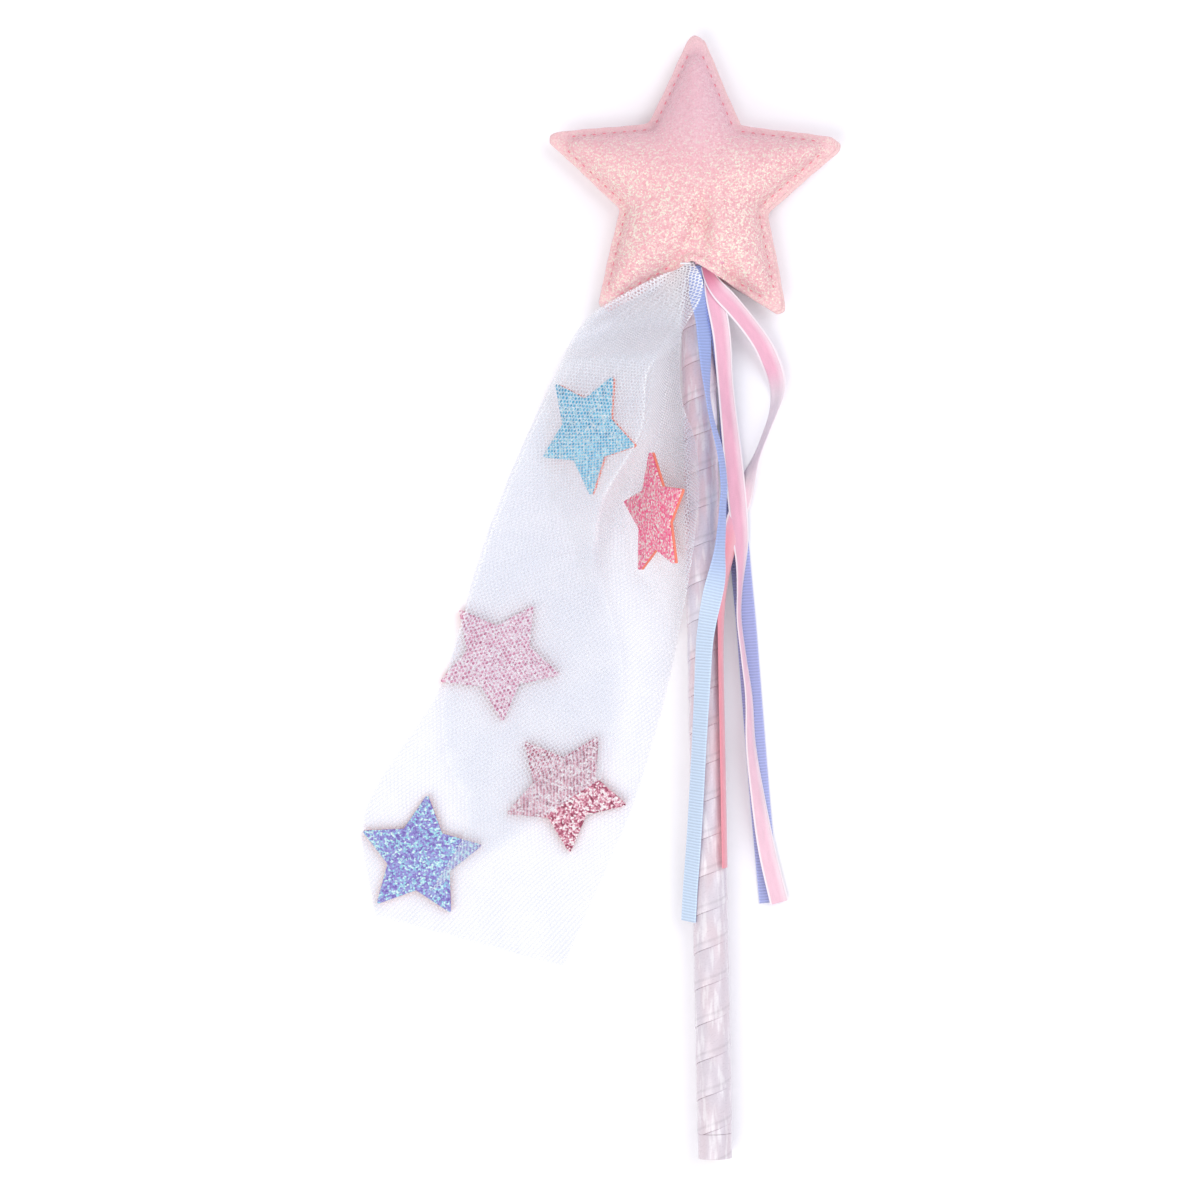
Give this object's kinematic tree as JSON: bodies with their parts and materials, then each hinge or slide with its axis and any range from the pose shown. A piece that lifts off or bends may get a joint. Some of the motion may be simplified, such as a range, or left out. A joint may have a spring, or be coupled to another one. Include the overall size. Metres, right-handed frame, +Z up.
{
  "type": "toy magic wand",
  "caption": "Toy fairy wand: padded glitter star on a spiral-wrapped stick, with a gathered tulle trail of small glitter stars and loose ribbon tails.",
  "frame": {"origin": "centre of the stick's free end face, on the stick's axis", "axes": "+Y along the stick towards the star, +Z up off the table on the star's front side, +X to the right seen from the front"},
  "size_m": [0.1571, 0.3595, 0.0389],
  "materials": {
    "core_wood": "bare",
    "satin_wrap": "pearly satin",
    "star_glitter": "fine glitter cloth",
    "star_filling": "loose fibre",
    "sewing_thread": "matte",
    "glue": "cloudy",
    "tulle": "open net",
    "sky_grosgrain": "ribbed",
    "periwinkle_grosgrain": "ribbed",
    "pink_velvet": "short pile",
    "blue_glitter": "coarse glitter",
    "coral_glitter": "coarse glitter",
    "pink_glitter": "coarse glitter",
    "rose_glitter": "coarse glitter",
    "lilac_glitter": "coarse glitter",
    "coral_backing": "felt"
  },
  "bodies": {
    "wand": {"stick_core": "core_wood", "stick_wrap": "satin_wrap", "wrap_end_band": "satin_wrap", "star_front_panel": "star_glitter", "star_back_panel": "star_glitter", "star_filling": "star_filling", "front_stitches": "sewing_thread", "back_stitches": "sewing_thread", "glue_plug": "glue", "binding_thread": "sewing_thread", "tulle_neck": "tulle", "ribbon_neck": "pink_velvet"},
    "tulle_trail": {"tulle_lower_layer": "tulle", "tulle_upper_layer": "tulle", "tulle_gather_thread": "sewing_thread", "blue_star_face": "blue_glitter", "blue_star_backing": "coral_backing", "coral_star_face": "coral_glitter", "coral_star_backing": "coral_backing", "pink_star_face": "pink_glitter", "pink_star_backing": "coral_backing", "rose_star_face": "rose_glitter", "rose_star_backing": "coral_backing", "lilac_star_face": "lilac_glitter", "lilac_star_backing": "coral_backing"},
    "ribbon_bunch": {"periwinkle_ribbon": "periwinkle_grosgrain", "pink_ribbon": "pink_velvet", "loop_ribbon": "pink_velvet", "ribbon_tack_thread": "sewing_thread"},
    "sky_tail": {"sky_ribbon": "sky_grosgrain"}
  },
  "joints": [
    {"name": "tulle_lift", "type": "hinge", "parent": "wand", "child": "tulle_trail", "pos_m": [0, 0.2858, 0.00857], "axis": [-1, 0, 0], "range_deg": [0, 80]},
    {"name": "bunch_lift", "type": "hinge", "parent": "wand", "child": "ribbon_bunch", "pos_m": [0, 0.2858, 0.00857], "axis": [-1, 0, 0], "range_deg": [0, 60]},
    {"name": "sky_lift", "type": "hinge", "parent": "ribbon_bunch", "child": "sky_tail", "pos_m": [0, 0.2858, 0.00857], "axis": [-1, 0, 0], "range_deg": [0, 30]}
  ]
}
